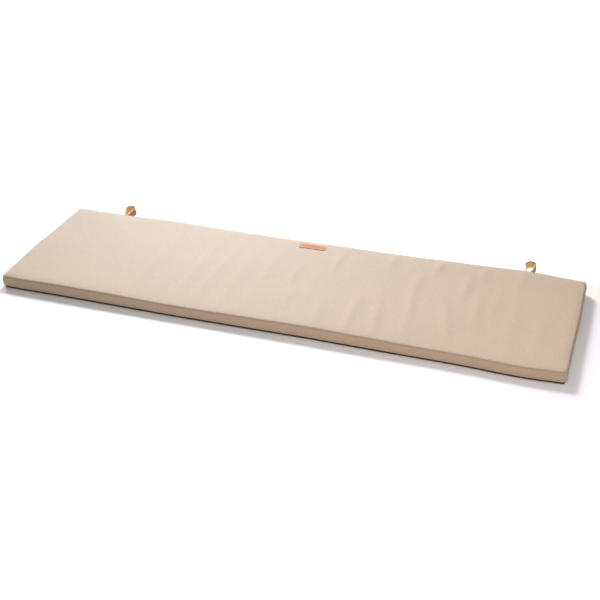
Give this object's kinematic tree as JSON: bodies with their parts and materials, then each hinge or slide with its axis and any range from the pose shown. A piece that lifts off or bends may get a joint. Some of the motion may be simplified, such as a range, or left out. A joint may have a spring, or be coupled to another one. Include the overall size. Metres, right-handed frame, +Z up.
{
  "type": "sofa seat cushion",
  "caption": "Long, thin, boxed seat cushion in canvas, with a leather label on top and leather strap loops at the back that hold it to the uprights of a seat.",
  "frame": {"origin": "centre of the flat underside, on the surface that the cushion lies on", "axes": "+X along the length, +Y towards the back where the strap loops are, +Z up out of the top panel"},
  "size_m": [1.5147, 0.5208, 0.0442],
  "materials": {
    "canvas": "plain woven, matt",
    "leather": "vegetable tanned, satin",
    "rivet": "coppered, dull"
  },
  "bodies": {
    "root": {"cushion": "canvas", "label": "leather", "label_rivet_left": "rivet", "label_rivet_right": "rivet", "loop_left": "leather", "loop_right": "leather"}
  },
  "joints": []
}
